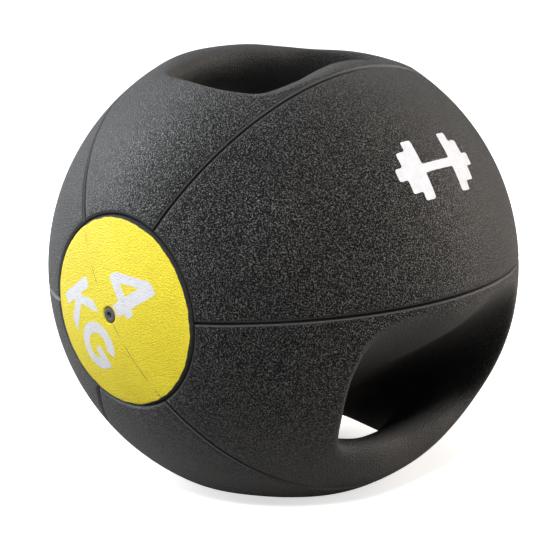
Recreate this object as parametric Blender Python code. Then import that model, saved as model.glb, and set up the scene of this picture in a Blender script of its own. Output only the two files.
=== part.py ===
"""A 4 kg dual-grip medicine ball: a hollow rubber ball with a hand tunnel under each of two handles.

World frame: metres, +Z up, origin at the ball's centre, the poles with the yellow discs on Y.
The shape is worked out in the ball's own axes, written (h, p, n): h points to the middle of the
upper handle, p runs from pole to pole along -Y, and n runs along the hand tunnels. The moulding is
split on the plane n = 0. The handles lean from the vertical by HANDLE_LEAN, so that the ball stands
level on the handle edge and the body edge of the tunnel mouth below it.
"""

import math

import bmesh
import bpy
import numpy as np
from mathutils import Matrix, Vector

BALL_RADIUS = 0.115
GAP = 0.0003
HANDLE_LEAN = math.radians(32.4)

COVER_THICKNESS = 0.0025
BOND_GAP = 0.0006
GROOVE_WIDTH = 0.0024
GROOVE_DEPTH = 0.0012
PANEL_ANGLE = math.radians(60)
DISC_ANGLE = math.radians(22.9)
REST_FLAT_DEPTH = 0.0004

HANDLE_THICKNESS = 0.19 * BALL_RADIUS
TUNNEL_FLOOR = 0.575 * BALL_RADIUS
TUNNEL_HALF_WIDTH = 0.49 * BALL_RADIUS

CAVITY_FLAT_RADIUS = 0.39 * BALL_RADIUS
CAVITY_ROUND_RADIUS = 0.81 * BALL_RADIUS
CAVITY_SQUARENESS = 2.4
BLADDER_WALL = 0.0015

VALVE_HEAD_RADIUS = 0.0034
VALVE_RECESS = 0.0002
VALVE_LIP_THICKNESS = 0.002
VALVE_STEM_RADIUS = 0.006
VALVE_FLANGE_RADIUS = 0.010
VALVE_FLANGE_THICKNESS = 0.0015
VALVE_FLANGE_DROP = 0.0034
VALVE_POCKET_RADIUS = 0.0027
VALVE_PLUG_CLEARANCE = 0.004
VALVE_BORE_DEPTH = 0.04
NEEDLE_HOLE_RADIUS = 0.0005

SHARP_ANGLE = math.radians(35)
MERGE_DISTANCE = 1e-6

# Fineness: steps in each span of a mouth's loop, rows of loops, and steps around turned pieces.
STEPS_PER_SPAN = 3
OUTLINE_CORNERS = (3 * STEPS_PER_SPAN, 5 * STEPS_PER_SPAN)
SPHERE_ROWS = 3
PROFILE_ROWS = 6
PROFILE_CROWDING = 1.3
PLAIN_PANEL_SHARES = (1, 0.78, 0.52, 0.25)
POLE_CAP_SHARES = (0.62, 0.3)
DISC_STEPS = 36
DISC_ROWS = 5
VALVE_STEPS = 24
CAVITY_TURNS = 24
CAVITY_TIERS = 10


# ---- outlines, each given from the handle's middle to the body's middle on the +p side ----

# Edge of the mouth on the ball: p as a share of the radius, angle from the handle in degrees.
MOUTH_EDGE = ((0, 4), (0.20, 5.5), (0.37, 9), (0.49, 18), (0.535, 33),
              (0.525, 46), (0.44, 56), (0.24, 58.9), (0, 58.4))

# Section of the hand tunnel on the split plane: shares of its half width and of its height.
TUNNEL_SECTION = ((0, 1), (0.37, 0.95), (0.68, 0.78), (0.89, 0.58), (1, 0.34),
                  (0.96, 0.12), (0.78, 0.012), (0.42, 0), (0, 0))

# How far the surface runs on along the ball and along the tunnel before it bends, in radii.
SHOULDER_REACH = (0.17, 0.17, 0.16, 0.12, 0.10, 0.09, 0.07, 0.08, 0.14)
TUNNEL_REACH = (0.33, 0.34, 0.33, 0.29, 0.29, 0.33, 0.38, 0.41, 0.42)


def mirrored_loop(half):
    """The closed list of control points: the +p half, then the same points on the -p side."""
    half = [tuple(np.atleast_1d(point)) for point in half]
    other = [(-point[0],) + point[1:] for point in half[-2:0:-1]]
    return np.array(half + other, float)


def even_loop(half):
    """As mirrored_loop, for one value per point that is the same on both sides."""
    return np.array(list(half) + list(half[-2:0:-1]), float)[:, None]


def smooth_loop(points):
    """Catmull-Rom curve through a closed list of control points, STEPS_PER_SPAN steps a span."""
    before, after, next_after = (np.roll(points, -k, axis=0) for k in (-1, 1, 2))
    spans = []
    for k in range(STEPS_PER_SPAN):
        t = k / STEPS_PER_SPAN
        spans.append(0.5 * (2 * points + (after - before) * t
                            + (2 * before - 5 * points + 4 * after - next_after) * t ** 2
                            + (3 * points - before - 3 * after + next_after) * t ** 3))
    return np.stack(spans, axis=1).reshape(-1, points.shape[1])


def unit(vectors):
    return vectors / np.linalg.norm(vectors, axis=-1, keepdims=True)


# ---- the surface of one quarter of the ball: h > 0, n > 0 ----

def on_ball(p, angle, radius):
    """Points at the height p (in radii) and the angle from the handle, on a ball of this radius."""
    around = np.sqrt(1 - p ** 2)
    return radius * np.stack([around * np.cos(angle), p, around * np.sin(angle)], axis=-1)


def panel_outline(first_angle, last_angle, inset, radius):
    """The closed outline of a panel between two seam planes and the two discs.

    It is moved in from the seams by inset, and it has as many points as a mouth's loop.
    """
    spans = len(MOUTH_EDGE) - 1
    steps = spans * STEPS_PER_SPAN
    first_corner, last_corner = OUTLINE_CORNERS
    p_end = math.cos(DISC_ANGLE + inset / BALL_RADIUS)
    shift = inset / (BALL_RADIUS * math.sqrt(1 - p_end ** 2))
    outline = []
    for k in range(steps + 1):
        if k <= first_corner:
            p, share = p_end * k / first_corner, 0.0
        elif k <= last_corner:
            p, share = p_end, (k - first_corner) / (last_corner - first_corner)
        else:
            p, share = p_end * (steps - k) / (steps - last_corner), 1.0
        slope = shift if p == p_end else inset / (BALL_RADIUS * math.sqrt(1 - p ** 2))
        angle = first_angle + slope + (last_angle - first_angle - 2 * slope) * share
        outline.append((p, angle))
    outline += [(-p, angle) for p, angle in outline[-2:0:-1]]
    p, angle = np.array(outline).T
    return on_ball(p, angle, radius)


def tunnel_loop():
    """The tunnel's section on the split plane, in metres."""
    share = smooth_loop(mirrored_loop(TUNNEL_SECTION))
    height = BALL_RADIUS - HANDLE_THICKNESS - TUNNEL_FLOOR
    h = TUNNEL_FLOOR + height * share[:, 1]
    return np.stack([h, TUNNEL_HALF_WIDTH * share[:, 0], np.zeros(len(h))], axis=-1)


def mouth_profiles():
    """Rows of points from the mouth's edge on the ball to the split plane, in metres."""
    edge = smooth_loop(mirrored_loop(MOUTH_EDGE))
    start = on_ball(edge[:, 0], np.radians(edge[:, 1]), BALL_RADIUS)
    end = tunnel_loop()
    along = np.roll(start, -1, axis=0) - np.roll(start, 1, axis=0)
    inward = unit(np.cross(unit(start), along))
    shoulder = BALL_RADIUS * smooth_loop(even_loop(SHOULDER_REACH))
    reach = BALL_RADIUS * smooth_loop(even_loop(TUNNEL_REACH))
    first = start + shoulder * inward
    second = end + reach * np.array([0, 0, 1.0])
    rows = []
    for t in np.linspace(0, 1, PROFILE_ROWS + 1) ** PROFILE_CROWDING:
        rows.append((1 - t) ** 3 * start + 3 * t * (1 - t) ** 2 * first
                    + 3 * t ** 2 * (1 - t) * second + t ** 3 * end)
    return rows


def quarter_surface():
    """The outer surface of a mouth panel, as rows of closed loops from its outline inwards."""
    outline = panel_outline(0.0, PANEL_ANGLE, GROOVE_WIDTH / 2, BALL_RADIUS)
    profiles = mouth_profiles()
    rows = []
    for k in range(SPHERE_ROWS):
        t = k / SPHERE_ROWS
        rows.append(BALL_RADIUS * unit((1 - t) * outline + t * profiles[0]))
    return np.array(rows + profiles)


def surface_normals(rows):
    """Normals that point out of the rubber, from the differences between neighbouring points."""
    around = np.roll(rows, -1, axis=1) - np.roll(rows, 1, axis=1)
    across = np.gradient(rows, axis=0)
    normals = unit(np.cross(around, across))
    normals[: SPHERE_ROWS + 1] = unit(rows[: SPHERE_ROWS + 1])
    normals[-1, :, 2] = 0
    return unit(normals)


def offset_quarter(depth, inset):
    """The quarter's surface moved into the rubber, with its edges inset from the seam planes."""
    rows = quarter_surface()
    inner = rows - depth * surface_normals(rows)
    inner[0] = panel_outline(0.0, PANEL_ANGLE, inset, BALL_RADIUS - depth)
    inner[-1, :, 2] = inset
    return inner


# ---- meshes ----

def ball_axes():
    """Matrix from the ball's own axes to the world."""
    lean_sin, lean_cos = math.sin(HANDLE_LEAN), math.cos(HANDLE_LEAN)
    h, p, n = Vector((-lean_sin, 0, lean_cos)), Vector((0, -1, 0)), Vector((lean_cos, 0, lean_sin))
    return Matrix((h, p, n)).transposed().to_4x4()


def add_loops(bm, rows, closed):
    """Triangles between successive closed loops, and from the last to the first where closed.

    The diagonals always run the same way, so that two surfaces a gap apart never cross.
    """
    loops = [[bm.verts.new(point) for point in row] for row in rows]
    pairs = list(zip(loops, loops[1:])) + ([(loops[-1], loops[0])] if closed else [])
    for one, other in pairs:
        for k in range(len(one)):
            nxt = (k + 1) % len(one)
            bm.faces.new((one[k], one[nxt], other[nxt]))
            bm.faces.new((one[k], other[nxt], other[k]))
    return loops


def add_strips(bm, lines):
    """Triangles between successive open lines of vertices."""
    for one, other in zip(lines, lines[1:]):
        for k in range(len(one) - 1):
            bm.faces.new((one[k], one[k + 1], other[k + 1]))
            bm.faces.new((one[k], other[k + 1], other[k]))


def face_outwards(bm):
    """Make the faces of a closed mesh agree, and point out of it."""
    bmesh.ops.recalc_face_normals(bm, faces=bm.faces)
    if bm.calc_volume(signed=True) < 0:
        bmesh.ops.reverse_faces(bm, faces=bm.faces)


def finished_mesh(bm, name):
    face_outwards(bm)
    mesh = bpy.data.meshes.new(name)
    bm.to_mesh(mesh)
    bm.free()
    mesh.shade_smooth()
    mesh.set_sharp_from_angle(angle=SHARP_ANGLE)
    return mesh


def mouth_panel_mesh():
    outer = quarter_surface()
    outer[-1, :, 2] = GAP / 2
    seam_side = panel_outline(0.0, PANEL_ANGLE, GAP / 2, BALL_RADIUS - GROOVE_DEPTH)
    inner = offset_quarter(COVER_THICKNESS, GAP / 2)
    bm = bmesh.new()
    add_loops(bm, list(outer[::-1]) + [seam_side] + list(inner), closed=True)
    press_rest_flats(bm)
    return finished_mesh(bm, "mouth_panel")


def press_rest_flats(bm):
    """Flatten the two places of a mouth that meet the floor when the ball stands on it."""
    down = Vector((math.cos(HANDLE_LEAN), 0, math.sin(HANDLE_LEAN)))
    reach = max(vert.co.dot(down) for vert in bm.verts) - REST_FLAT_DEPTH
    geometry = list(bm.verts) + list(bm.edges) + list(bm.faces)
    bmesh.ops.bisect_plane(bm, geom=geometry, plane_co=down * reach, plane_no=down,
                           clear_outer=True)
    rims = [edge for edge in bm.edges if edge.is_boundary]
    bmesh.ops.holes_fill(bm, edges=rims, sides=0)


def plain_panel_rows(depth, inset):
    """Loops from the outline of the panel between two tunnels to its middle."""
    outline = panel_outline(PANEL_ANGLE, 2 * PANEL_ANGLE, inset, BALL_RADIUS)
    middle = BALL_RADIUS * np.array([0, 0, 1.0])
    rows = [BALL_RADIUS * unit(share * outline + (1 - share) * middle)
            for share in PLAIN_PANEL_SHARES]
    return (1 - depth / BALL_RADIUS) * np.array(rows)


def add_fan(bm, loop, point):
    centre = bm.verts.new(point)
    for k in range(len(loop)):
        bm.faces.new((loop[k], loop[(k + 1) % len(loop)], centre))


def plain_panel_mesh():
    outer = plain_panel_rows(0.0, GROOVE_WIDTH / 2)
    seam_side = panel_outline(PANEL_ANGLE, 2 * PANEL_ANGLE, GAP / 2, BALL_RADIUS - GROOVE_DEPTH)
    inner = plain_panel_rows(COVER_THICKNESS, GAP / 2)
    bm = bmesh.new()
    loops = add_loops(bm, list(outer[::-1]) + [seam_side] + list(inner), closed=False)
    add_fan(bm, loops[0], (0, 0, BALL_RADIUS))
    add_fan(bm, loops[-1], (0, 0, BALL_RADIUS - COVER_THICKNESS))
    return finished_mesh(bm, "plain_panel")


def turned_mesh(name, profile, steps):
    """A closed profile of (radius, height) points spun about +Z."""
    bm = bmesh.new()
    verts = [bm.verts.new((radius, 0, height)) for radius, height in profile]
    edges = [bm.edges.new((verts[k], verts[(k + 1) % len(verts)])) for k in range(len(verts))]
    bmesh.ops.spin(bm, geom=verts + edges, cent=(0, 0, 0), axis=(0, 0, 1),
                   angle=2 * math.pi, steps=steps, use_merge=True)
    bmesh.ops.remove_doubles(bm, verts=bm.verts, dist=MERGE_DISTANCE)
    return finished_mesh(bm, name)


def disc_profile(hole_radius):
    """Section of a pole disc, along the pole axis: a shell of the ball with a bevelled edge."""
    edge = DISC_ANGLE - GROOVE_WIDTH / 2 / BALL_RADIUS
    side = DISC_ANGLE - GAP / 2 / BALL_RADIUS
    inner_radius = BALL_RADIUS - COVER_THICKNESS
    first = math.asin(hole_radius / BALL_RADIUS)
    outer = [(BALL_RADIUS, a) for a in np.linspace(first, edge, DISC_ROWS)]
    inner = [(inner_radius, a) for a in np.linspace(side, first, DISC_ROWS)]
    corners = outer + [(BALL_RADIUS - GROOVE_DEPTH, side)] + inner
    return [(radius * math.sin(a), radius * math.cos(a)) for radius, a in corners]


def plain_disc_mesh():
    """The disc of the pole with no valve, which is whole."""
    profile = disc_profile(0.0)
    bm = bmesh.new()
    turn = [Matrix.Rotation(2 * math.pi * k / DISC_STEPS, 4, "Z") for k in range(DISC_STEPS)]
    rows = [[matrix @ Vector((radius, 0, height)) for matrix in turn]
            for radius, height in profile[1:-1]]
    loops = add_loops(bm, rows, closed=False)
    add_fan(bm, loops[0], (0, 0, profile[0][1]))
    add_fan(bm, loops[-1], (0, 0, profile[-1][1]))
    return finished_mesh(bm, "side_disc_plain")


# ---- inside ----

def cavity_point(around, up, shrink):
    """A point of the flattened round cavity: around its rim, and up from its widest plane to +h."""
    power = 2 / CAVITY_SQUARENESS
    wide = abs(math.cos(up)) ** power
    high = math.copysign(abs(math.sin(up)) ** power, up)
    round_radius, flat_radius = CAVITY_ROUND_RADIUS - shrink, CAVITY_FLAT_RADIUS - shrink
    return (flat_radius * high, round_radius * wide * math.sin(around),
            round_radius * wide * math.cos(around))


def add_cavity(bm, shrink):
    """The whole closed surface of the cavity, or of the bladder in it."""
    rows = []
    for tier in range(1, CAVITY_TIERS):
        up = math.pi * (tier / CAVITY_TIERS - 0.5)
        turns = range(CAVITY_TURNS)
        rows.append([cavity_point(2 * math.pi * k / CAVITY_TURNS, up, shrink) for k in turns])
    loops = add_loops(bm, rows, closed=False)
    add_fan(bm, loops[0], (-CAVITY_FLAT_RADIUS + shrink, 0, 0))
    add_fan(bm, loops[-1], (CAVITY_FLAT_RADIUS - shrink, 0, 0))


def add_half_cavity(bm):
    """The half of the cavity with n > 0, open on the split plane."""
    columns = []
    last = CAVITY_TURNS // 2
    for turn in range(last + 1):
        around = math.pi * (turn / last - 0.5)
        ups = [math.pi * (tier / CAVITY_TIERS - 0.5) for tier in range(1, CAVITY_TIERS)]
        column = [Vector(cavity_point(around, up, 0.0)) for up in ups]
        if turn in (0, last):
            for point in column:
                point.z = GAP / 2
        columns.append([bm.verts.new(point) for point in column])
    add_strips(bm, columns)
    for tier, h in ((0, -CAVITY_FLAT_RADIUS), (-1, CAVITY_FLAT_RADIUS)):
        centre = bm.verts.new((h, 0, GAP / 2))
        for one, other in zip(columns, columns[1:]):
            bm.faces.new((one[tier], other[tier], centre))


def add_pole_cap(bm, side, radius):
    """The half of the carcass's round end under a disc, on the side n > 0."""
    corner, last_corner = OUTLINE_CORNERS
    arc = []
    for panel in range(3):
        outline = panel_outline(panel * PANEL_ANGLE, (panel + 1) * PANEL_ANGLE, 0.0, radius)
        arc += list(outline[corner:last_corner])
    arc = np.array(arc + [outline[last_corner]])
    arc[:, 1] *= side
    pole = np.array([0, side * radius, 0.0])
    rows = [radius * unit(share * arc + (1 - share) * pole) for share in (1,) + POLE_CAP_SHARES]
    lines = []
    for row in rows:
        row[[0, -1], 2] = GAP / 2
        lines.append([bm.verts.new(point) for point in row])
    add_strips(bm, lines)
    centre = bm.verts.new((0, side * radius, GAP / 2))
    for one, other in zip(lines[-1], lines[-1][1:]):
        bm.faces.new((one, other, centre))


def carcass_mesh():
    """The thick half moulding with n > 0, with its share of both tunnels and of the air cavity."""
    depth = COVER_THICKNESS + BOND_GAP
    radius = BALL_RADIUS - depth
    quarter = offset_quarter(depth, 0.0)
    quarter[-1, :, 2] = GAP / 2
    quarter[0, :, 2] = np.maximum(quarter[0, :, 2], GAP / 2)
    bm = bmesh.new()
    add_loops(bm, quarter, closed=False)
    add_loops(bm, quarter * np.array([-1, -1, 1.0]), closed=False)
    loops = add_loops(bm, plain_panel_rows(depth, 0.0), closed=False)
    add_fan(bm, loops[-1], (0, 0, radius))
    for side in (-1, 1):
        add_pole_cap(bm, side, radius)
    bmesh.ops.remove_doubles(bm, verts=bm.verts, dist=MERGE_DISTANCE)
    add_half_cavity(bm)
    rims = [edge for edge in bm.edges if edge.is_boundary]
    bmesh.ops.triangle_fill(bm, edges=rims, use_beauty=True, normal=(0, 0, -1))
    return finished_mesh(bm, "carcass_half")


def bladder_mesh():
    bm = bmesh.new()
    add_cavity(bm, 2 * GAP + BLADDER_WALL)
    face_outwards(bm)
    bmesh.ops.reverse_faces(bm, faces=bm.faces)
    inside = set(bm.faces)
    add_cavity(bm, 2 * GAP)
    outside = [face for face in bm.faces if face not in inside]
    bmesh.ops.recalc_face_normals(bm, faces=outside)
    mesh = bpy.data.meshes.new("air_bladder")
    bm.to_mesh(mesh)
    bm.free()
    mesh.shade_smooth()
    return mesh


# ---- valve, turned about the pole axis, heights measured from the ball's centre ----

def valve_levels():
    """Heights of the valve's face, its shoulder under the disc, and its flange."""
    face = BALL_RADIUS - VALVE_RECESS
    shoulder = BALL_RADIUS - COVER_THICKNESS - BOND_GAP
    flange_top = CAVITY_ROUND_RADIUS - BLADDER_WALL - VALVE_FLANGE_DROP
    return face, shoulder, flange_top


def valve_body_mesh():
    face, shoulder, flange_top = valve_levels()
    flange_bottom = flange_top - VALVE_FLANGE_THICKNESS
    lip = face - VALVE_LIP_THICKNESS
    profile = [(2 * NEEDLE_HOLE_RADIUS, face), (2 * NEEDLE_HOLE_RADIUS, lip),
               (VALVE_POCKET_RADIUS, lip), (VALVE_POCKET_RADIUS, flange_bottom),
               (VALVE_FLANGE_RADIUS, flange_bottom), (VALVE_FLANGE_RADIUS, flange_top),
               (VALVE_STEM_RADIUS, flange_top), (VALVE_STEM_RADIUS, shoulder),
               (VALVE_HEAD_RADIUS, shoulder), (VALVE_HEAD_RADIUS, face)]
    return turned_mesh("valve_body", profile, VALVE_STEPS)


def valve_plug_mesh():
    face, _, flange_top = valve_levels()
    top = face - VALVE_LIP_THICKNESS - GAP
    bottom = flange_top + VALVE_PLUG_CLEARANCE
    radius = VALVE_POCKET_RADIUS - GAP
    profile = [(NEEDLE_HOLE_RADIUS, top), (NEEDLE_HOLE_RADIUS, bottom),
               (radius, bottom), (radius, top)]
    return turned_mesh("valve_plug", profile, VALVE_STEPS)


# ---- objects ----

def rubber(name, colour, roughness):
    material = bpy.data.materials.new(name)
    material.use_nodes = True
    shader = material.node_tree.nodes["Principled BSDF"]
    shader.inputs["Base Color"].default_value = (*colour, 1)
    shader.inputs["Roughness"].default_value = roughness
    shader.inputs["Metallic"].default_value = 0.0
    return material


def add_object(name, mesh, matrix, colour, roughness):
    obj = bpy.data.objects.new(name, mesh)
    bpy.context.scene.collection.objects.link(obj)
    obj.matrix_world = matrix
    if not mesh.materials:
        mesh.materials.append(None)
    obj.material_slots[0].link = "OBJECT"
    obj.material_slots[0].material = rubber(name + "_rubber", colour, roughness)
    return obj


def cut_valve_bore(obj):
    """Cut the hole for the valve's stem through the pole at -Y."""
    bm = bmesh.new()
    bore_radius = VALVE_STEM_RADIUS + GAP
    bmesh.ops.create_cone(bm, cap_ends=True, segments=VALVE_STEPS, radius1=bore_radius,
                          radius2=bore_radius, depth=2 * VALVE_BORE_DEPTH)
    mesh = bpy.data.meshes.new("valve_bore")
    bm.to_mesh(mesh)
    bm.free()
    cutter = bpy.data.objects.new(obj.name + "_bore_cutter", mesh)
    bpy.context.scene.collection.objects.link(cutter)
    cutter.matrix_world = Matrix.Translation((0, -BALL_RADIUS, 0)) @ Matrix.Rotation(
        math.radians(90), 4, "X")
    cutter.hide_render = True
    cutter.display_type = "WIRE"
    cut = obj.modifiers.new("valve bore", "BOOLEAN")
    cut.operation = "DIFFERENCE"
    cut.solver = "EXACT"
    cut.object = cutter


def build():
    for obj in list(bpy.data.objects):
        bpy.data.objects.remove(obj)
    axes = ball_axes()
    half_turn = {axis: Matrix.Rotation(math.pi, 4, axis) for axis in "XYZ"}
    black, core_black = (0.018, 0.018, 0.019), (0.012, 0.012, 0.012)
    yellow, grey = (0.83, 0.62, 0.01), (0.055, 0.055, 0.055)

    mouth = mouth_panel_mesh()
    turns = {"upper_right": Matrix(), "lower_right": half_turn["Z"],
             "upper_left": half_turn["X"], "lower_left": half_turn["Y"]}
    for place, turn in turns.items():
        add_object("mouth_panel_" + place, mouth, axes @ turn, black, 0.55)
    plain = plain_panel_mesh()
    for place, turn in (("right", Matrix()), ("left", half_turn["X"])):
        add_object("plain_panel_" + place, plain, axes @ turn, black, 0.55)

    front_pole = axes @ Matrix.Rotation(math.radians(-90), 4, "X")
    back_pole = axes @ Matrix.Rotation(math.radians(90), 4, "X")
    disc = turned_mesh("side_disc_valve", disc_profile(VALVE_HEAD_RADIUS + 2 * GAP), DISC_STEPS)
    add_object("side_disc_valve", disc, front_pole, yellow, 0.5)
    add_object("side_disc_plain", plain_disc_mesh(), back_pole, yellow, 0.5)

    carcass = carcass_mesh()
    for place, turn in (("right", Matrix()), ("left", half_turn["X"])):
        half = add_object("carcass_half_" + place, carcass, axes @ turn, core_black, 0.7)
        cut_valve_bore(half)
    bladder = add_object("air_bladder", bladder_mesh(), axes, core_black, 0.6)
    cut_valve_bore(bladder)
    add_object("valve_body", valve_body_mesh(), front_pole, grey, 0.6)
    add_object("valve_plug", valve_plug_mesh(), front_pole, core_black, 0.6)


build()
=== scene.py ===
"""The looks of a dual-grip medicine ball: fine rubber covers, valve, printed marks, light and camera.

The covers are worked out in the ball's own axes, written (h, p, n): h points to the middle of the
upper handle, p runs from pole to pole along -Y, and n runs along the hand tunnels. The ball's size,
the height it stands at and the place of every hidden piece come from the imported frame.
"""

import math

import bmesh
import bpy
import numpy as np
from mathutils import Matrix, Vector, noise


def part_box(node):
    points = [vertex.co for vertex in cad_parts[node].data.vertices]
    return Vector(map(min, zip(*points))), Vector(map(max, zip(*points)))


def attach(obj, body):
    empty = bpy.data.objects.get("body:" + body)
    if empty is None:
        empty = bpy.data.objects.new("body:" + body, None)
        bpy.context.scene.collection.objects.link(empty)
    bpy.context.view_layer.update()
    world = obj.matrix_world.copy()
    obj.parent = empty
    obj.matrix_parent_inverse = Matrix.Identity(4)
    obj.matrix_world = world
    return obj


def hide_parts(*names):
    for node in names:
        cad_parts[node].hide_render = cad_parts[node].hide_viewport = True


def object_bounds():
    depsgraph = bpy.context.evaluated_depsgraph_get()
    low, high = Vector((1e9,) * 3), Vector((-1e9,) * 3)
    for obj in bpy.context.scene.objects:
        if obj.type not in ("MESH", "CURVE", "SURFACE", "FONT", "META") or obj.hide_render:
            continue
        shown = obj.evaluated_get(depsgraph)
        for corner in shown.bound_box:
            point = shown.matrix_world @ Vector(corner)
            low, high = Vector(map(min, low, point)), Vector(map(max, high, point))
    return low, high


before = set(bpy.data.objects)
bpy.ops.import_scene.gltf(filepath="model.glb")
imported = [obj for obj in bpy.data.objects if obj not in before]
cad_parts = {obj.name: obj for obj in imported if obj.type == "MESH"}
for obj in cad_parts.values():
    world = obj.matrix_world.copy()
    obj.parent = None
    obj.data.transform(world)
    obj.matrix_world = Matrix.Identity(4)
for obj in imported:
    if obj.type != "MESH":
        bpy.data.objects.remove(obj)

# ---- driving sizes, from the frame ----

CAD_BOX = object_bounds()
BALL_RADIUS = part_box("side_disc_plain")[1].y
REST_HEIGHT = -CAD_BOX[0].z
VALVE_FLANGE_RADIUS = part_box("valve_body")[1].x
VALVE_FLANGE_LEVEL = -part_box("valve_body")[1].y
VALVE_FACE = -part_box("valve_body")[0].y

HANDLE_LEAN = math.radians(32.4)
GAP = 0.0003
COVER_THICKNESS = 0.0025
GROOVE_HALF_WIDTH = 0.0015
GROOVE_DEPTH = 0.0012
GROOVE_ROUNDNESS = 1.2
DISC_FLANK_WIDTH = 0.0016
PANEL_ANGLE = math.radians(60)
DISC_ANGLE = math.radians(22.9)
PARTING_LIP = 0.0006
PARTING_LIP_DROPS = (0.2 * PARTING_LIP, 0.6 * PARTING_LIP)

HANDLE_THICKNESS = 0.19 * BALL_RADIUS
TUNNEL_FLOOR = 0.575 * BALL_RADIUS
TUNNEL_HALF_WIDTH = 0.49 * BALL_RADIUS

VALVE_HEAD_RADIUS = 0.0034
VALVE_STEM_RADIUS = 0.006
VALVE_FLANGE_THICKNESS = 0.0015
VALVE_FUNNEL_RADIUS = 0.00135
VALVE_POCKET_RADIUS = 0.0027
VALVE_LIP_THICKNESS = 0.002
NEEDLE_HOLE_RADIUS = 0.0005
VALVE_FIT = 2 * GAP
HOLE_ROUNDING = 0.0003
FUNNEL_BLUR = 0.0003

# Radius and depth below the valve's face: the funnel to the needle hole, and the head's soft rim.
VALVE_FUNNEL = ((VALVE_FUNNEL_RADIUS + 0.0002, 0), (VALVE_FUNNEL_RADIUS, 0.0001),
                (0.8 * VALVE_FUNNEL_RADIUS, 0.0008), (NEEDLE_HOLE_RADIUS, 0.0014))
VALVE_RIM = ((VALVE_HEAD_RADIUS, 0.0004), (VALVE_HEAD_RADIUS - 0.00012, 0.00012),
             (VALVE_HEAD_RADIUS - 0.0004, 0))

MARK_HEIGHT = 0.00006
MARK_DEPTH = 0.0002
MARK_CELL = 0.0012
MARK_RAGGEDNESS = 0.00016
MARK_RAGGED_SCALE = 900
MARK_RAGGED_LEVEL = 3.0
MARK_SEED = 1
MM_PER_METRE = 1000

# A mark's corner is rounded where it bends more than this, over at most 1 / CORNER_ROOM of a side.
SOFT_BEND = math.radians(20)
CORNER_ROOM = 2.2

# The moulded grain: its depth and pitch, and how much of it is worms; the rest is round cells.
GRAIN_HEIGHT = 0.0008
GRAIN_PITCH = 0.00145
WORMS_PER_PITCH = 2.3
CELLS_PER_PITCH = 1.7
WORM_SHARE = 0.65

# The share of the grain's depth on each surface; across a groove, at steps from its bottom (0) to
# its shoulder (1).
GROOVE_STEPS = (0.15, 0.5, 0.8, 1.0)
GROOVE_GRAIN = (0.0, 0.35, 0.35, 0.8)
TUNNEL_GRAIN = 0.6
TUNNEL_FADE = 2.2
DISC_GRAIN = 0.6
INK_GRAIN = 0.3

# Paint on the discs, and the line that the mould leaves across them.
PAINT_EDGE_WANDER = 0.0014
PAINT_EDGE_BLUR = 0.0001
MOULD_LINE_WANDER = 0.0012
MOULD_LINE_EDGES = (0.00028, 0.0001)
MOULD_LINE_STRENGTH = 0.85
MOULD_LINE_DENT = 0.8

# ---- fineness ----

SHARP_ANGLE = math.radians(50)

STEPS_PER_SPAN = 12
OUTLINE_CORNERS = (3 * STEPS_PER_SPAN, 5 * STEPS_PER_SPAN)
GROOVE_ROWS = 7
SPHERE_ROWS = 14
PROFILE_ROWS = 44
PROFILE_CROWDING = 1.3
INNER_ROW_STEP = 4
PLAIN_ROWS = 30
DISC_STEPS = 240
DISC_ROWS = 30
DISC_INNER_ROWS = 6
VALVE_STEPS = 64
CORNER_STEPS = 5

# ---- camera and light ----

CAMERA_AZIMUTH = math.radians(43.4)
CAMERA_ELEVATION = math.radians(14.2)
CAMERA_ROLL = math.radians(1.5)
CAMERA_DISTANCE = 8.0 * BALL_RADIUS
CAMERA_SENSOR = 36
CAMERA_LENS = 122.3
CAMERA_SHIFT = (-0.0155, -0.0183)

FLOOR_HALF_SIZE = 60 * BALL_RADIUS
WORLD_STRENGTH = 0.25
FLOOR_GLOW = 0.62

# Name, azimuth and elevation in degrees, distance, size, power and colour of each soft box.
SOFT_BOXES = (("key", 32, 40, 1.6, 0.24, 22, (0.97, 0.98, 1.0)),
              ("left_box", -72, 25, 1.9, 2.0, 54, (0.91, 0.96, 1.0)),
              ("right_box", 148, 13, 1.3, 1.4, 15, (1.0, 0.89, 0.78)),
              ("top", 120, 72, 1.3, 0.9, 3, (1.0, 0.90, 0.78)),
              ("right_front", 98, 6, 1.3, 0.9, 5, (1.0, 0.90, 0.80)))

# ---- outlines, each given from the handle's middle to the body's middle on the +p side ----

# Edge of the mouth on the ball: p as a share of the radius, angle from the handle in degrees.
MOUTH_EDGE = ((0, 4), (0.20, 5.5), (0.37, 9), (0.49, 18), (0.535, 33),
              (0.525, 46), (0.44, 56), (0.24, 58.9), (0, 58.4))

# Section of the hand tunnel on the split plane: shares of its half width and of its height.
TUNNEL_SECTION = ((0, 1), (0.37, 0.95), (0.68, 0.78), (0.89, 0.58), (1, 0.34),
                  (0.96, 0.12), (0.78, 0.012), (0.42, 0), (0, 0))

# How far the surface runs on along the ball and along the tunnel before it bends, in radii.
SHOULDER_REACH = (0.17, 0.17, 0.16, 0.12, 0.10, 0.09, 0.07, 0.08, 0.14)
TUNNEL_REACH = (0.33, 0.34, 0.33, 0.29, 0.29, 0.33, 0.38, 0.41, 0.42)


def mirrored_loop(half):
    """The closed list of control points: the +p half, then the same points on the -p side."""
    half = [tuple(np.atleast_1d(point)) for point in half]
    other = [(-point[0],) + point[1:] for point in half[-2:0:-1]]
    return np.array(half + other, float)


def even_loop(half):
    """As mirrored_loop, for one value per point that is the same on both sides."""
    return np.array(list(half) + list(half[-2:0:-1]), float)[:, None]


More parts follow.
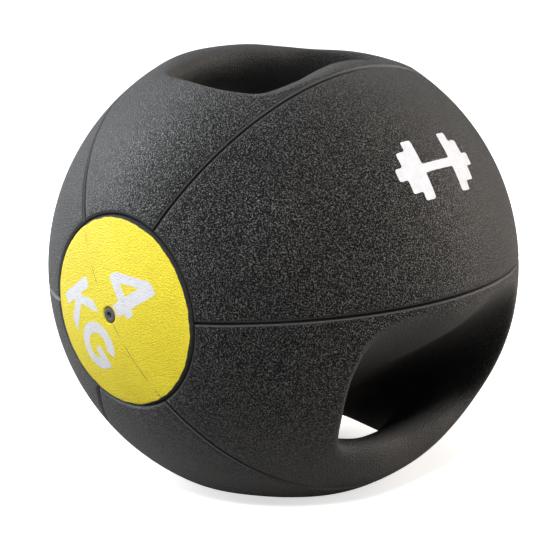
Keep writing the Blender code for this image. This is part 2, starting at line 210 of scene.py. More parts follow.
def smooth_loop(points):
    """Catmull-Rom curve through a closed list of control points, STEPS_PER_SPAN steps a span."""
    before, after, next_after = (np.roll(points, -k, axis=0) for k in (-1, 1, 2))
    spans = []
    for k in range(STEPS_PER_SPAN):
        t = k / STEPS_PER_SPAN
        spans.append(0.5 * (2 * points + (after - before) * t
                            + (2 * before - 5 * points + 4 * after - next_after) * t ** 2
                            + (3 * points - before - 3 * after + next_after) * t ** 3))
    return np.stack(spans, axis=1).reshape(-1, points.shape[1])


def unit(vectors):
    return vectors / np.linalg.norm(vectors, axis=-1, keepdims=True)


# ---- cover surfaces ----

def on_ball(p, angle, radius):
    """Points at the height p (in radii) and the angle from the handle, on a ball of this radius."""
    around = np.sqrt(1 - p ** 2)
    return radius * np.stack([around * np.cos(angle), p, around * np.sin(angle)], axis=-1)


def panel_outline(first_angle, last_angle, inset, radius):
    """The closed outline of a panel between two seam planes and the two discs, moved in by inset."""
    steps = (len(MOUTH_EDGE) - 1) * STEPS_PER_SPAN
    first_corner, last_corner = OUTLINE_CORNERS
    p_end = math.cos(DISC_ANGLE + inset / BALL_RADIUS)
    shift = inset / (BALL_RADIUS * math.sqrt(1 - p_end ** 2))
    outline = []
    for k in range(steps + 1):
        if k <= first_corner:
            p, share = p_end * k / first_corner, 0.0
        elif k <= last_corner:
            p, share = p_end, (k - first_corner) / (last_corner - first_corner)
        else:
            p, share = p_end * (steps - k) / (steps - last_corner), 1.0
        slope = shift if p == p_end else inset / (BALL_RADIUS * math.sqrt(1 - p ** 2))
        outline.append((p, first_angle + slope + (last_angle - first_angle - 2 * slope) * share))
    outline += [(-p, angle) for p, angle in outline[-2:0:-1]]
    p, angle = np.array(outline).T
    return on_ball(p, angle, radius)


def groove_shape(width=GROOVE_HALF_WIDTH):
    """Pairs of inset and depth from the bottom of a seam's groove up to its soft shoulder."""
    pairs = []
    for t in np.linspace(0, 1, GROOVE_ROWS, endpoint=False):
        inset = GAP / 2 + (width - GAP / 2) * t
        pairs.append((inset, GROOVE_DEPTH * (1 - t) ** GROOVE_ROUNDNESS))
    return pairs


def groove_loops(first_angle, last_angle):
    return [panel_outline(first_angle, last_angle, inset, BALL_RADIUS - depth)
            for inset, depth in groove_shape()]


def groove_grain():
    """Depth of grain on each groove loop: none at the bottom, faint on the worn shoulder."""
    shares = np.linspace(0, 1, GROOVE_ROWS, endpoint=False)
    return list(np.interp(shares, GROOVE_STEPS, GROOVE_GRAIN))


def tunnel_loop():
    """The tunnel's section on the split plane."""
    share = smooth_loop(mirrored_loop(TUNNEL_SECTION))
    height = BALL_RADIUS - HANDLE_THICKNESS - TUNNEL_FLOOR
    h = TUNNEL_FLOOR + height * share[:, 1]
    return np.stack([h, TUNNEL_HALF_WIDTH * share[:, 0], np.zeros(len(h))], axis=-1)


def mouth_profiles():
    """Rows of points from the mouth's edge on the ball to the split plane, and how far along."""
    edge = smooth_loop(mirrored_loop(MOUTH_EDGE))
    start = on_ball(edge[:, 0], np.radians(edge[:, 1]), BALL_RADIUS)
    end = tunnel_loop()
    along = np.roll(start, -1, axis=0) - np.roll(start, 1, axis=0)
    inward = unit(np.cross(unit(start), along))
    first = start + BALL_RADIUS * smooth_loop(even_loop(SHOULDER_REACH)) * inward
    second = end + BALL_RADIUS * smooth_loop(even_loop(TUNNEL_REACH)) * np.array([0, 0, 1.0])
    times = np.linspace(0, 1, PROFILE_ROWS + 1) ** PROFILE_CROWDING
    rows = [(1 - t) ** 3 * start + 3 * t * (1 - t) ** 2 * first
            + 3 * t ** 2 * (1 - t) * second + t ** 3 * end for t in times]
    return rows, times


def surface_normals(rows):
    """Outward normals: straight out of the ball on its rows, and in the split plane at the end."""
    around = np.roll(rows, -1, axis=1) - np.roll(rows, 1, axis=1)
    across = np.gradient(rows, axis=0)
    normals = unit(np.cross(around, across))
    normals[: SPHERE_ROWS + 1] = unit(rows[: SPHERE_ROWS + 1])
    normals[-1, :, 2] = 0
    return unit(normals)


def mouth_panel_rows():
    """All loops of a mouth panel, right round its closed shell, and the depth of grain on each."""
    outline = panel_outline(0.0, PANEL_ANGLE, GROOVE_HALF_WIDTH, BALL_RADIUS)
    profiles, times = mouth_profiles()
    shares = np.arange(SPHERE_ROWS) / SPHERE_ROWS
    sphere = [BALL_RADIUS * unit((1 - t) * outline + t * profiles[0]) for t in shares]
    surface = np.array(sphere + profiles)
    normals = surface_normals(surface)

    drop, end_drop = PARTING_LIP_DROPS
    lip = surface[-1] + np.array([0, 0, PARTING_LIP / 2]) - drop * normals[-1]
    lip_end = surface[-1] + np.array([0, 0, GAP / 2]) - end_drop * normals[-1]
    inner = (surface - COVER_THICKNESS * normals)[::INNER_ROW_STEP]
    inner[0] = panel_outline(0.0, PANEL_ANGLE, GAP / 2, BALL_RADIUS - COVER_THICKNESS)
    inner[-1] = surface[-1] - COVER_THICKNESS * normals[-1] + np.array([0, 0, GAP / 2])
    surface[-1, :, 2] = PARTING_LIP

    groove = groove_loops(0.0, PANEL_ANGLE)
    rows = groove + list(surface) + [lip, lip_end] + list(inner[::-1])
    grain = groove_grain() + [1.0] * SPHERE_ROWS
    grain += [max(TUNNEL_GRAIN, 1 - TUNNEL_FADE * t) for t in times]
    grain += [TUNNEL_GRAIN] * (len(rows) - len(grain))
    return np.array(rows), grain


def plain_panel_rows():
    """Loops of the panel between two tunnels: groove, outer surface, and inner surface."""
    outline = panel_outline(PANEL_ANGLE, 2 * PANEL_ANGLE, GROOVE_HALF_WIDTH, BALL_RADIUS)
    middle = BALL_RADIUS * np.array([0, 0, 1.0])
    shares = np.linspace(1, 0, PLAIN_ROWS, endpoint=False)
    surface = [BALL_RADIUS * unit(share * outline + (1 - share) * middle) for share in shares]
    inner_share = 1 - COVER_THICKNESS / BALL_RADIUS
    inner = [inner_share * row for row in surface[::INNER_ROW_STEP]]
    inner[0] = panel_outline(PANEL_ANGLE, 2 * PANEL_ANGLE, GAP / 2, BALL_RADIUS * inner_share)
    groove = groove_loops(PANEL_ANGLE, 2 * PANEL_ANGLE)
    rows = surface[::-1] + groove[::-1] + inner
    grain = [1.0] * len(surface) + groove_grain()[::-1] + [0.0] * len(inner)
    return np.array(rows), grain


# ---- meshes ----

def ball_axes():
    """Matrix from the ball's own axes to the world."""
    lean_sin, lean_cos = math.sin(HANDLE_LEAN), math.cos(HANDLE_LEAN)
    h, p, n = Vector((-lean_sin, 0, lean_cos)), Vector((0, -1, 0)), Vector((lean_cos, 0, lean_sin))
    return Matrix((h, p, n)).transposed().to_4x4()


AXES = ball_axes()
HALF_TURN = {axis: Matrix.Rotation(math.pi, 4, axis) for axis in "XYZ"}

# Matrices that put the top of a turned piece, its +Z, at each pole.
FRONT_POLE = AXES @ Matrix.Rotation(math.radians(-90), 4, "X")
BACK_POLE = AXES @ Matrix.Rotation(math.radians(90), 4, "X")


def ring_faces(loops, closed):
    """Quads between successive loops of vertex numbers, and from the last to the first if closed."""
    pairs = list(zip(loops, loops[1:])) + ([(loops[-1], loops[0])] if closed else [])
    faces = []
    for one, other in pairs:
        faces += np.stack([one, np.roll(one, -1), np.roll(other, -1), other], axis=1).tolist()
    return faces


def fan_faces(loop, centre):
    return [(loop[k], loop[(k + 1) % len(loop)], centre) for k in range(len(loop))]


def face_outwards(mesh):
    bm = bmesh.new()
    bm.from_mesh(mesh)
    bmesh.ops.recalc_face_normals(bm, faces=bm.faces)
    if bm.calc_volume(signed=True) < 0:
        bmesh.ops.reverse_faces(bm, faces=bm.faces)
    bm.to_mesh(mesh)
    bm.free()


def add_piece(name, points, faces, turn, material, values):
    """A piece from points in local axes, with named values per vertex that its material reads."""
    mesh = bpy.data.meshes.new(name)
    mesh.from_pydata([tuple(point) for point in points], [], faces)
    for label, numbers in values.items():
        layer = mesh.attributes.new(label, "FLOAT", "POINT")
        layer.data.foreach_set("value", np.asarray(numbers, np.float32))
    mesh.transform(turn)
    face_outwards(mesh)
    mesh.shade_smooth()
    mesh.set_sharp_from_angle(angle=SHARP_ANGLE)
    mesh.materials.append(material)
    piece = bpy.data.objects.new(name, mesh)
    bpy.context.scene.collection.objects.link(piece)
    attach(piece, "root")
    return piece


def press_rest_flats(points):
    """Flatten what reaches lower than the floor when the ball stands on this mouth."""
    down = np.array([math.cos(HANDLE_LEAN), 0, math.sin(HANDLE_LEAN)])
    over = np.maximum(points @ down - REST_HEIGHT, 0)
    return points - over[:, None] * down


def add_mouth_panels(material):
    rows, grain = mouth_panel_rows()
    loops = np.arange(rows.shape[0] * rows.shape[1]).reshape(rows.shape[:2])
    points = press_rest_flats(rows.reshape(-1, 3))
    faces = ring_faces(list(loops), closed=True)
    values = {"grain": np.repeat(grain, rows.shape[1])}
    turns = {"upper_right": Matrix(), "lower_right": HALF_TURN["Z"],
             "upper_left": HALF_TURN["X"], "lower_left": HALF_TURN["Y"]}
    for place, turn in turns.items():
        piece = add_piece("cover_mouth_" + place, points, faces, AXES @ turn, material,
                          values)
        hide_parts("mouth_panel_" + place)


def add_plain_panels(material):
    rows, grain = plain_panel_rows()
    count = rows.shape[0] * rows.shape[1]
    loops = np.arange(count).reshape(rows.shape[:2])
    middles = np.array([[0, 0, BALL_RADIUS], [0, 0, BALL_RADIUS - COVER_THICKNESS]])
    points = np.concatenate([rows.reshape(-1, 3), middles])
    faces = ring_faces(list(loops), closed=False)
    faces += fan_faces(loops[0].tolist(), count) + fan_faces(loops[-1].tolist(), count + 1)
    values = {"grain": list(np.repeat(grain, rows.shape[1])) + [1.0, 1.0]}
    for place, turn in (("right", Matrix()), ("left", HALF_TURN["X"])):
        piece = add_piece("cover_plain_" + place, points, faces, AXES @ turn, material,
                          values)
        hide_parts("plain_panel_" + place)


def turned_piece(name, profile, steps, turn, material):
    """A closed profile of (radius, height) points turned about +Z; a radius of 0 is a point."""
    angles = 2 * math.pi * np.arange(steps) / steps
    around = np.stack([np.cos(angles), np.sin(angles)], axis=-1)
    points, loops, tips = [], [], []
    for radius, height in profile:
        if radius == 0:
            tips.append((len(loops), height))
            continue
        loops.append(len(points) + np.arange(steps))
        points += [(radius * x, radius * y, height) for x, y in around]
    faces = ring_faces(loops, closed=not tips)
    for place, height in tips:
        loop = loops[0] if place == 0 else loops[-1]
        faces += fan_faces(loop.tolist(), len(points))
        points.append((0, 0, height))
    points = np.array(points)
    values = {"grain": np.ones(len(points)), "across": points[:, 1],
              "reach": np.hypot(points[:, 0], points[:, 1])}
    return add_piece(name, points, faces, turn, material, values)


def disc_profile(hole_radius):
    """Section of a pole disc: from its middle or its hole, over the edge, and back underneath."""
    edge = DISC_ANGLE - DISC_FLANK_WIDTH / BALL_RADIUS
    first = math.asin(hole_radius / BALL_RADIUS)
    outer = [(BALL_RADIUS, angle) for angle in np.linspace(first, edge, DISC_ROWS)]
    if hole_radius:
        soft = 0.3 * HOLE_ROUNDING
        outer[0] = (BALL_RADIUS - HOLE_ROUNDING, first)
        outer.insert(1, (BALL_RADIUS - soft, first + soft / BALL_RADIUS))
        outer.insert(2, (BALL_RADIUS, first + HOLE_ROUNDING / BALL_RADIUS))
    flank = [(BALL_RADIUS - depth, DISC_ANGLE - inset / BALL_RADIUS)
             for inset, depth in groove_shape(DISC_FLANK_WIDTH)[::-1]]
    side = DISC_ANGLE - GAP / 2 / BALL_RADIUS
    inner = [(BALL_RADIUS - COVER_THICKNESS, angle)
             for angle in np.linspace(side, first, DISC_INNER_ROWS)]
    return [(radius * math.sin(angle), radius * math.cos(angle))
            for radius, angle in outer + flank + inner]


def add_discs(material):
    hole_radius = VALVE_HEAD_RADIUS + VALVE_FIT
    for place, hole, turn in (("valve", hole_radius, FRONT_POLE), ("plain", 0.0, BACK_POLE)):
        piece = turned_piece("pole_disc_" + place, disc_profile(hole), DISC_STEPS, turn, material)
        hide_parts("side_disc_" + place)


def add_valve(material):
    """The valve body: a funnel, the needle hole, an inner pocket, a flange, a stem and a head."""
    face, lip = VALVE_FACE, VALVE_FACE - VALVE_LIP_THICKNESS
    shoulder = BALL_RADIUS - COVER_THICKNESS - VALVE_FIT
    flange_bottom = VALVE_FLANGE_LEVEL
    flange_top = flange_bottom + VALVE_FLANGE_THICKNESS
    profile = [(radius, face - depth) for radius, depth in VALVE_FUNNEL]
    profile += [(NEEDLE_HOLE_RADIUS, lip), (VALVE_POCKET_RADIUS, lip),
                (VALVE_POCKET_RADIUS, flange_bottom), (VALVE_FLANGE_RADIUS, flange_bottom),
                (VALVE_FLANGE_RADIUS, flange_top), (VALVE_STEM_RADIUS, flange_top),
                (VALVE_STEM_RADIUS, shoulder), (VALVE_HEAD_RADIUS, shoulder)]
    profile += [(radius, face - depth) for radius, depth in VALVE_RIM]
    piece = turned_piece("valve", profile, VALVE_STEPS, FRONT_POLE, material)
    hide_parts("valve_body")


# ---- printed marks: flat outlines (u, v) in millimetres, u along the reading direction ----

def arc(centre, radii, first, last, steps):
    """Points on an ellipse, from one angle to another in degrees."""
    angles = np.radians(np.linspace(first, last, steps))
    return [(centre[0] + radii[0] * math.cos(a), centre[1] + radii[1] * math.sin(a))
            for a in angles]


def figure_four():
    stem_left, stem_right, bar_low, bar_high = -2.8, 3.4, 9.6, 14.2
    outline = [(stem_left, 30), (stem_right, 30), (stem_right, bar_high), (6.4, bar_high),
               (6.4, bar_low), (stem_right, bar_low), (stem_right, 5), (stem_left, 5),
               (stem_left, bar_low), (-15.2, bar_low), (-15.2, bar_high)]
    window = [(stem_left, bar_high), (stem_left, 23.4), (-9.6, bar_high)]
    return [outline, window]


def letter_k():
    left, right, low, high = -22.0, -16.6, -29.0, -6.4
    waist_high, waist_low, elbow = -15.4, -22.2, -12.6
    return [[(left, high), (right, high), (right, waist_high), (-10.2, high), (-3.6, high),
             (elbow, -16.4), (-3.0, low), (-9.6, low), (elbow - 3.2, -20.4), (right, waist_low),
             (right, low), (left, low)]]


def letter_g():
    centre = (8.4, -17.7)
    outer = arc(centre, (11.4, 11.5), 38, 360, 46)
    inner = arc(centre, (6.2, 6.5), 318, 46, 34)
    bar_top, bar_low, bar_left = centre[1] + 1.8, centre[1] - 2.4, centre[0] + 0.4
    bar = [(centre[0] + 11.4, bar_top), (bar_left, bar_top), (bar_left, bar_low),
           (centre[0] + 5.6, bar_low)]
    return [outer + bar + inner]


def dumbbell():
    """A plain dumbbell: a bar with two plates and a collar at each end."""
    half = [(0, 2.1), (9.5, 2.1), (9.5, 14.5), (15.5, 14.5), (15.5, 10), (21.0, 10), (21.0, 3.1),
            (25.5, 3.1)]
    top = [(-u, v) for u, v in half[:0:-1]] + half[1:]
    return [top + [(u, -v) for u, v in reversed(top)]]


def rounded(outline, radius):
    """The outline with each sharp corner turned into a short curve."""
    points = [Vector(point) for point in outline]
    result = []
    for k, corner in enumerate(points):
        to_last, to_next = points[k - 1] - corner, points[(k + 1) % len(points)] - corner
        if to_last.angle(-to_next) < SOFT_BEND:
            result.append(corner)
            continue
        reach = min(radius, to_last.length / CORNER_ROOM, to_next.length / CORNER_ROOM)
        one, other = corner + reach * to_last.normalized(), corner + reach * to_next.normalized()
        for t in np.linspace(0, 1, CORNER_STEPS):
            result.append((1 - t) ** 2 * one + 2 * t * (1 - t) * corner + t ** 2 * other)
    return result


def flat_mark(outlines, radius):
    """A mesh of small cells inside the outlines, in millimetres; later outlines are windows."""
    bm = bmesh.new()
    edges = []
    for outline in outlines:
        verts = [bm.verts.new((u, v, 0)) for u, v in rounded(outline, radius)]
        edges += [bm.edges.new((verts[k - 1], verts[k])) for k in range(len(verts))]
    bmesh.ops.triangle_fill(bm, edges=edges, use_beauty=True)
    cell = MARK_CELL * MM_PER_METRE
    for axis in (0, 1):
        low = min(vert.co[axis] for vert in bm.verts)
        high = max(vert.co[axis] for vert in bm.verts)
        for place in np.arange(low + cell / 2, high, cell):
            point = Vector((0, 0, 0))
            point[axis] = place
            normal = Vector((axis == 0, axis == 1, 0))
            geometry = list(bm.verts) + list(bm.edges) + list(bm.faces)
            bmesh.ops.bisect_plane(bm, geom=geometry, plane_co=point, plane_no=normal)
    return bm


def add_mark(name, outlines, place, material, corner=0.7):
    """Ink on the ball, with corners of this radius in millimetres and a slightly ragged edge.

    place turns a point (u, v) in metres and a radius into a point in the ball's axes.
    """
    bm = flat_mark(outlines, corner)
    for vert in bm.verts:
        u, v = vert.co.x / MM_PER_METRE, vert.co.y / MM_PER_METRE
        if vert.is_boundary:
            spot = Vector((MARK_RAGGED_SCALE * u, MARK_RAGGED_SCALE * v, MARK_RAGGED_LEVEL))
            shake = noise.noise_vector(spot)
            u, v = u + MARK_RAGGEDNESS * shake.x, v + MARK_RAGGEDNESS * shake.y
        vert.co = place(u, v, BALL_RADIUS + MARK_HEIGHT)
    top = list(bm.faces)
    made = bmesh.ops.extrude_face_region(bm, geom=top)["geom"]
    sink = (BALL_RADIUS - MARK_DEPTH) / (BALL_RADIUS + MARK_HEIGHT)
    for vert in (item for item in made if isinstance(item, bmesh.types.BMVert)):
        vert.co *= sink
    bm.verts.index_update()
    points = np.array([vert.co for vert in bm.verts])
    faces = [[vert.index for vert in face.verts] for face in bm.faces]
    bm.free()
    return add_piece(name, points, faces, AXES, material,
                     {"grain": np.ones(len(points))})


def on_front_pole(u, v, radius):
    """Reading along -h, with the letters' tops towards +n."""
    return Vector((-u, math.sqrt(radius ** 2 - u ** 2 - v ** 2), v))


def on_right_panel(u, v, radius):
    """Reading along -p, with the top towards +h."""
    return Vector((v, -u, math.sqrt(radius ** 2 - u ** 2 - v ** 2)))


def add_marks(material):
    """The weight on the front disc and the sign; the noise in their edges needs a seed."""
    noise.seed_set(MARK_SEED)
    add_mark("weight_mark_four", figure_four(), on_front_pole, material)
    add_mark("weight_mark_k", letter_k(), on_front_pole, material)
    add_mark("weight_mark_g", letter_g(), on_front_pole, material, corner=0.5)
    add_mark("dumbbell_sign", dumbbell(), on_right_panel, material, corner=1.2)


# ---- materials ----

def grey(level):
    return (level, level, level, 1)


# In the tunnels the crown share is held low and even, so they are darker: painted shade inside the
# tunnels.
SHADED_TUNNEL_CROWN = grey(0.28)
# At a slant the crown share is lifted, so the painted crease shade fades and the rim is painted
# lighter.
SLANT_LIFT = 0.45
CREASE_ROUGHNESS, CROWN_ROUGHNESS = 0.44, 0.30
TUNNEL_ROUGHNESS, GROOVE_ROUGHNESS = 0.5, 0.36
CREASE_SPECULAR, CROWN_SPECULAR = 0.10, 1.0

# Near-black creases are painted shade and the lighter crowns are painted glints; the dusty pair adds
# real dust.
CREASE_SHADE, DUSTY_CREASE_SHADE = grey(0.003), (0.005, 0.005, 0.0045, 1)
CROWN_GLINT, DUSTY_CROWN_GLINT = (0.037, 0.037, 0.038, 1), (0.047, 0.045, 0.043, 1)
# Seam shoulders: partly real wear and partly a painted highlight along the seams.
WORN_EDGE_AND_HIGHLIGHT = (0.050, 0.050, 0.053, 1)
# Black rubber, made darker so that the disc's flank in its groove looks black: partly painted shade.
BARE_RUBBER_AND_SHADE, PALE_CORE = grey(0.010), (0.020, 0.019, 0.018, 1)
YELLOW, LIGHT_YELLOW = (0.80, 0.655, 0.013, 1), (0.86, 0.73, 0.024, 1)
# The darker yellow is painted shade in the grain's creases; the brown marks the mould line.
CREASE_SHADE_YELLOW, MOULD_LINE_BROWN = (0.62, 0.45, 0.008, 1), (0.22, 0.16, 0.01, 1)
INK, WORN_INK, THIN_INK = (0.71, 0.71, 0.74, 1), (0.62, 0.62, 0.67, 1), (0.53, 0.53, 0.56, 1)
VALVE_GREY, DUSTY_VALVE = (0.055, 0.056, 0.060, 1), (0.10, 0.10, 0.105, 1)
# Painted shade for the valve's funnel and needle hole.
HOLE_SHADE = grey(0.006)
FLOOR_WHITE, LIGHT_FLOOR, FLOOR_FOR_BALL = grey(0.86), grey(0.90), (0.26, 0.25, 0.24, 1)


class Nodes:
    """A short way to write a node tree: each call adds a node and links what it is given."""

    def __init__(self, name):
        self.material = bpy.data.materials.new(name)
        self.material.use_nodes = True
        self.tree = self.material.node_tree
        self.shader = self.tree.nodes["Principled BSDF"]

    def feed(self, socket, value):
        if isinstance(value, bpy.types.NodeSocket):
            self.tree.links.new(value, socket)
        else:
            socket.default_value = value

    def add(self, kind, inputs, output=0, **settings):
        node = self.tree.nodes.new("ShaderNode" + kind)
        for key, value in settings.items():
            setattr(node, key, value)
        for key, value in inputs.items():
            self.feed(node.inputs[key], value)
        return node.outputs[output]

    def place(self):
        return self.add("TexCoord", {}, output="Object")

    def value(self, label):
        return self.add("Attribute", {}, output="Fac", attribute_name=label)

    def math(self, operation, one, other=0.0):
        return self.add("Math", {0: one, 1: other}, operation=operation)

    def span(self, value, low, high, to_low=0.0, to_high=1.0):
        """A smooth step: to_low where the value is at low, to_high where it is at high."""
        inputs = {"Value": value, "From Min": low, "From Max": high,
                  "To Min": to_low, "To Max": to_high}
        return self.add("MapRange", inputs, interpolation_type="SMOOTHSTEP")

    def noise(self, scale, detail=2.0, roughness=0.5, place=None):
        inputs = {"Vector": place or self.place(), "Scale": scale, "Detail": detail,
                  "Roughness": roughness}
        return self.add("TexNoise", inputs, output="Fac")

    def blend(self, share, one, other):
        """A number that goes smoothly from one to other as the share goes from 0 to 1."""
        return self.span(share, 0.0, 1.0, one, other)

    def wander(self, scale, detail, width):
        """A smooth random shift to both sides of 0."""
        return self.math("MULTIPLY", self.math("SUBTRACT", self.noise(scale, detail), 0.5), width)

    def mix(self, share, one, other):
        """A colour between one and other."""
        node = self.tree.nodes.new("ShaderNodeMix")
        node.data_type = "RGBA"
        for socket, value in ((node.inputs[0], share), (node.inputs[6], one),
                              (node.inputs[7], other)):
            self.feed(socket, value)
        return node.outputs[2]

    def bump(self, height, distance, strength=1.0, normal=None):
        inputs = {"Height": height, "Distance": distance, "Strength": strength}
        if normal:
            inputs["Normal"] = normal
        return self.add("Bump", inputs)

    def finish(self, colour, roughness, normal=None, specular=0.5):
        self.feed(self.shader.inputs["Base Color"], colour)
        self.feed(self.shader.inputs["Roughness"], roughness)
        self.feed(self.shader.inputs["Specular IOR Level"], specular)
        if normal:
            self.feed(self.shader.inputs["Normal"], normal)
        return self.material


def pebbles(nodes):
    """Height of the moulded grain, 0 in the creases to 1 on the crowns, in uneven cells and worms."""
    place = nodes.place()
    coarse = nodes.noise(WORMS_PER_PITCH / GRAIN_PITCH, detail=1.0, roughness=0.6, place=place)
    inputs = {"Vector": place, "Scale": CELLS_PER_PITCH / GRAIN_PITCH, "Smoothness": 0.6}
    cells = nodes.add("TexVoronoi", inputs, output="Distance", feature="SMOOTH_F1")
    worms = nodes.math("MULTIPLY", nodes.span(coarse, 0.30, 0.70), WORM_SHARE)
    domes = nodes.math("MULTIPLY", nodes.span(cells, 0.62, 0.12), 1 - WORM_SHARE)
    return nodes.math("ADD", worms, domes)


def grained_normal(nodes, height, depth=1.0):
    """The grain as a bump, over a slight unevenness of the whole skin."""
    amount = nodes.math("MULTIPLY", nodes.value("grain"), GRAIN_HEIGHT * depth)
    uneven = nodes.bump(nodes.noise(45, detail=2.0), 0.0006, strength=0.5)
    return nodes.bump(nodes.math("MULTIPLY", height, amount), 1.0, normal=uneven)


def cover_rubber():
    """Black moulded rubber: creases painted near black as shade, crowns painted light as glints,
    and pale edges along the seams, partly wear and partly painted highlight.

    Seen at a slant, the crowns hide the creases, so the painted crease shade fades there. The
    tunnels have less crown than the open panels, which paints shade in them; the bottoms of the
    grooves are painted nearly black as shade, and a little dust lies here and there.
    """
    nodes = Nodes("cover_rubber")
    height = pebbles(nodes)
    depth = nodes.value("grain")
    dust = nodes.span(nodes.noise(22, detail=4.0, roughness=0.6), 0.35, 0.75)
    slant = nodes.add("LayerWeight", {"Blend": 0.5}, output="Facing")
    panel = nodes.span(depth, 0.4, 1.0)
    # Share of crown colour: from the grain on the open panels, held low in the tunnels as painted
    # shade.
    crown = nodes.mix(panel, SHADED_TUNNEL_CROWN, nodes.span(height, 0.25, 0.95))
    # Lifted at a slant: the painted crease shade fades and the rim is painted lighter.
    crown = nodes.mix(nodes.span(slant, 0.08, 0.70, 0.0, SLANT_LIFT), crown, grey(1))
    # Crease colour is painted shade, crown colour is painted glint; the noise adds real dust to both.
    crease_shade_colour = nodes.mix(dust, CREASE_SHADE, DUSTY_CREASE_SHADE)
    crown_glint_colour = nodes.mix(dust, CROWN_GLINT, DUSTY_CROWN_GLINT)
    colour = nodes.mix(crown, crease_shade_colour, crown_glint_colour)
    roughness = nodes.blend(panel, TUNNEL_ROUGHNESS,
                            nodes.blend(crown, CREASE_ROUGHNESS, CROWN_ROUGHNESS))
    groove = nodes.span(depth, 0.55, 0.36)
    # Groove bottoms are painted nearly black as shade; the shoulders are lighter, partly wear and
    # partly painted highlight.
    groove_shade_and_highlight = nodes.mix(nodes.span(depth, 0.05, 0.33), CREASE_SHADE, WORN_EDGE_AND_HIGHLIGHT)
    return nodes.finish(nodes.mix(groove, colour, groove_shade_and_highlight),
                        nodes.blend(groove, roughness, GROOVE_ROUGHNESS),
                        grained_normal(nodes, height),
                        nodes.blend(crown, CREASE_SPECULAR, CROWN_SPECULAR))


def disc_rubber():
    """Yellow paint over black rubber, with an uneven edge and a faint line from the mould."""
    nodes = Nodes("disc_rubber")
    height = pebbles(nodes)
    edge = BALL_RADIUS * math.sin(DISC_ANGLE) - DISC_FLANK_WIDTH
    reach = nodes.math("ADD", nodes.value("reach"), nodes.wander(160, 3.0, PAINT_EDGE_WANDER))
    painted = nodes.span(reach, edge + PAINT_EDGE_BLUR, edge - PAINT_EDGE_BLUR)
    tone = nodes.mix(nodes.span(nodes.noise(30, 4.0, 0.6), 0.3, 0.7), YELLOW, LIGHT_YELLOW)
    # Darker yellow in the grain's creases: painted shade.
    yellow = nodes.mix(nodes.span(height, 0.1, 0.55, 0.35, 0.0), tone, CREASE_SHADE_YELLOW)
    drift = nodes.wander(60, 1.0, MOULD_LINE_WANDER)
    offset = nodes.math("ABSOLUTE", nodes.math("ADD", nodes.value("across"), drift))
    broken = nodes.math("MULTIPLY", nodes.span(nodes.noise(110, 1.0), 0.42, 0.58),
                        MOULD_LINE_STRENGTH)
    mould_line = nodes.math("MULTIPLY", nodes.span(offset, *MOULD_LINE_EDGES), broken)
    yellow = nodes.mix(mould_line, yellow, MOULD_LINE_BROWN)
    dented = nodes.math("SUBTRACT", height, nodes.math("MULTIPLY", mould_line, MOULD_LINE_DENT))
    # Off the paint, the flank is the darkened bare rubber: painted shade in the groove round the
    # disc.
    return nodes.finish(nodes.mix(painted, BARE_RUBBER_AND_SHADE, yellow),
                        nodes.span(height, 0.3, 1.0, 0.62, 0.48),
                        grained_normal(nodes, dented, DISC_GRAIN))


def mark_ink():
    """White ink that follows the grain, thinner in the creases."""
    nodes = Nodes("mark_ink")
    height = pebbles(nodes)
    colour = nodes.mix(nodes.span(nodes.noise(260, 3.0), 0.2, 0.8), WORN_INK, INK)
    colour = nodes.mix(nodes.span(height, 0.05, 0.3, 0.25, 0.0), colour, THIN_INK)
    return nodes.finish(colour, 0.55, grained_normal(nodes, height, INK_GRAIN))


def valve_rubber():
    """Grey rubber with fine dust; the funnel and needle hole are painted near black as shade."""
    nodes = Nodes("valve_rubber")
    face = nodes.mix(nodes.span(nodes.noise(1500, 3.0), 0.35, 0.7), VALVE_GREY, DUSTY_VALVE)
    outside = nodes.span(nodes.value("reach"), VALVE_FUNNEL_RADIUS,
                         VALVE_FUNNEL_RADIUS + FUNNEL_BLUR)
    return nodes.finish(nodes.mix(outside, HOLE_SHADE, face), 0.5,
                        nodes.bump(nodes.noise(900, 2.0), 0.00008))


def core_rubber():
    """The hidden mouldings: plain black rubber with a dull, slightly mottled skin."""
    nodes = Nodes("core_rubber")
    mottle = nodes.span(nodes.noise(90, 4.0, 0.6), 0.35, 0.7)
    return nodes.finish(nodes.mix(mottle, BARE_RUBBER_AND_SHADE, PALE_CORE), nodes.blend(mottle, 0.6, 0.75),
                        nodes.bump(nodes.noise(700, 3.0), 0.0001))


def floor_paint():
    """Pale to the camera; the ball sees a darker floor, so that its underside stays deep."""
    nodes = Nodes("floor_paint")
    seen = nodes.add("LightPath", {}, output="Is Camera Ray")
    tone = nodes.mix(nodes.noise(3, 3.0), FLOOR_WHITE, LIGHT_FLOOR)
    nodes.feed(nodes.shader.inputs["Emission Color"], grey(1))
    nodes.feed(nodes.shader.inputs["Emission Strength"], nodes.math("MULTIPLY", seen, FLOOR_GLOW))
    return nodes.finish(nodes.mix(seen, FLOOR_FOR_BALL, tone), 0.8, specular=0.2)


# ---- the hidden pieces, floor, light and camera ----

def dress_hidden_nodes(material):
    for name in ("carcass_half_right", "carcass_half_left", "air_bladder", "valve_plug"):
        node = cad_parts[name]
        node.data.materials.clear()
        node.data.materials.append(material)


def add_floor():
    size = FLOOR_HALF_SIZE
    outline = [(-size, -size, 0), (size, -size, 0), (size, size, 0), (-size, size, 0)]
    mesh = bpy.data.meshes.new("floor")
    mesh.from_pydata(outline, [], [(0, 1, 2, 3)])
    mesh.materials.append(floor_paint())
    floor = bpy.data.objects.new("floor", mesh)
    bpy.context.scene.collection.objects.link(floor)
    floor.location.z = -REST_HEIGHT


def direction(azimuth, elevation):
    """Unit vector from the ball's centre; azimuth 0 is towards -Y and 90 degrees is towards +X."""
    flat = math.cos(elevation)
    return Vector((math.sin(azimuth) * flat, -math.cos(azimuth) * flat, math.sin(elevation)))


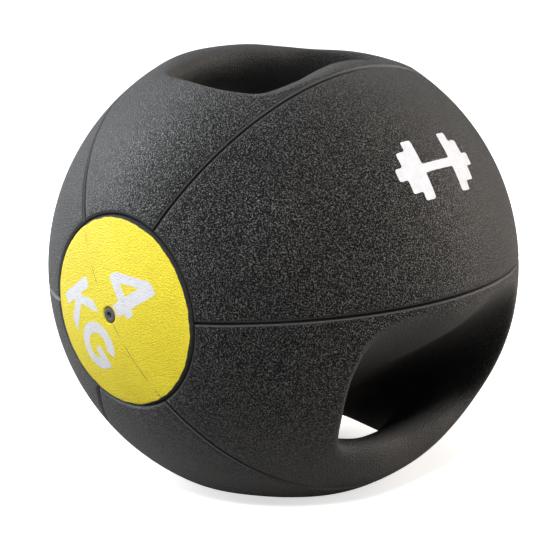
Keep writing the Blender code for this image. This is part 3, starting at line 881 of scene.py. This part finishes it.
def add_soft_box(name, azimuth, elevation, distance, size, power, colour):
    """A round light that faces the ball, placed by its direction from the ball's centre."""
    away = direction(math.radians(azimuth), math.radians(elevation))
    light = bpy.data.lights.new(name, "AREA")
    light.shape = "DISK"
    light.size = size
    light.energy = power
    light.color = colour
    lamp = bpy.data.objects.new(name, light)
    bpy.context.scene.collection.objects.link(lamp)
    lamp.location = distance * away
    lamp.rotation_euler = away.to_track_quat("Z", "Y").to_euler()


def add_world():
    """White to the camera, and a weaker even light on the ball."""
    world = bpy.data.worlds.new("studio")
    world.use_nodes = True
    tree = world.node_tree
    background = tree.nodes["Background"]
    background.inputs["Color"].default_value = (1, 1, 1, 1)
    seen = tree.nodes.new("ShaderNodeLightPath").outputs["Is Camera Ray"]
    strength = tree.nodes.new("ShaderNodeMapRange")
    strength.inputs["To Min"].default_value = WORLD_STRENGTH
    tree.links.new(seen, strength.inputs["Value"])
    tree.links.new(strength.outputs["Result"], background.inputs["Strength"])
    bpy.context.scene.world = world


def add_camera():
    back = direction(CAMERA_AZIMUTH, CAMERA_ELEVATION)
    right = Vector((math.cos(CAMERA_AZIMUTH), math.sin(CAMERA_AZIMUTH), 0))
    up = back.cross(right)
    roll_cos, roll_sin = math.cos(CAMERA_ROLL), math.sin(CAMERA_ROLL)
    rolled_right = roll_cos * right - roll_sin * up
    rolled_up = roll_sin * right + roll_cos * up
    data = bpy.data.cameras.new("camera")
    data.sensor_width = CAMERA_SENSOR
    data.lens = CAMERA_LENS
    data.shift_x, data.shift_y = CAMERA_SHIFT
    camera = bpy.data.objects.new("camera", data)
    bpy.context.scene.collection.objects.link(camera)
    turn = Matrix((rolled_right, rolled_up, back)).transposed().to_4x4()
    camera.matrix_world = Matrix.Translation(CAMERA_DISTANCE * back) @ turn
    bpy.context.scene.camera = camera


covers = cover_rubber()
add_mouth_panels(covers)
add_plain_panels(covers)
add_discs(disc_rubber())
add_valve(valve_rubber())
add_marks(mark_ink())
dress_hidden_nodes(core_rubber())
add_floor()
add_world()
for box in SOFT_BOXES:
    add_soft_box(*box)
add_camera()
bpy.context.scene.view_settings.view_transform = "Standard"
